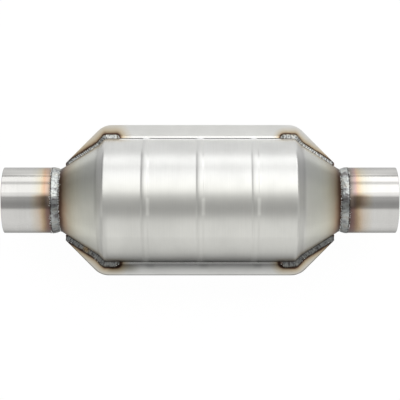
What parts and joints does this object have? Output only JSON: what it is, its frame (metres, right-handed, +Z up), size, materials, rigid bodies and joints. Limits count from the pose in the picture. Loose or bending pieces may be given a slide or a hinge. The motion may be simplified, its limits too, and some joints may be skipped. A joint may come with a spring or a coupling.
{
  "type": "catalytic converter",
  "caption": "Round ribbed catalytic converter with spun cones, welded slip-on pipe stubs, a half-shell heat shield with a wide flange, and ceramic honeycomb bricks inside.",
  "frame": {"origin": "on the floor under the centre of the converter, which lies on its heat shield", "axes": "+X along the exhaust axis from inlet to outlet, +Y across the flanges, +Z up from the shielded side to the bare side of the can"},
  "size_m": [0.4064, 0.1564, 0.1381],
  "materials": {
    "can_steel": "satin spun stainless, straw and brown heat tint near the welds",
    "pipe_steel": "smooth drawn stainless tube, heat tint beside the weld",
    "weld_metal": "rippled grey weld bead with light oxide",
    "shield_steel": "mill-finish pressed stainless sheet",
    "brick_ceramic": "matt washcoated cordierite",
    "mat_fibre": "matt ceramic fibre felt",
    "seal_wire": "knitted wire mesh, pressed"
  },
  "bodies": {
    "root": {"can": "can_steel", "inlet_pipe": "pipe_steel", "outlet_pipe": "pipe_steel", "inlet_pipe_weld": "weld_metal", "outlet_pipe_weld": "weld_metal", "heat_shield": "shield_steel", "shield_weld_outlet_left": "weld_metal", "shield_weld_outlet_right": "weld_metal", "shield_weld_inlet_left": "weld_metal", "shield_weld_inlet_right": "weld_metal", "front_brick": "brick_ceramic", "front_mat": "mat_fibre", "front_brick_inlet_seal": "seal_wire", "front_brick_outlet_seal": "seal_wire", "rear_brick": "brick_ceramic", "rear_mat": "mat_fibre", "rear_brick_inlet_seal": "seal_wire", "rear_brick_outlet_seal": "seal_wire"}
  },
  "joints": []
}
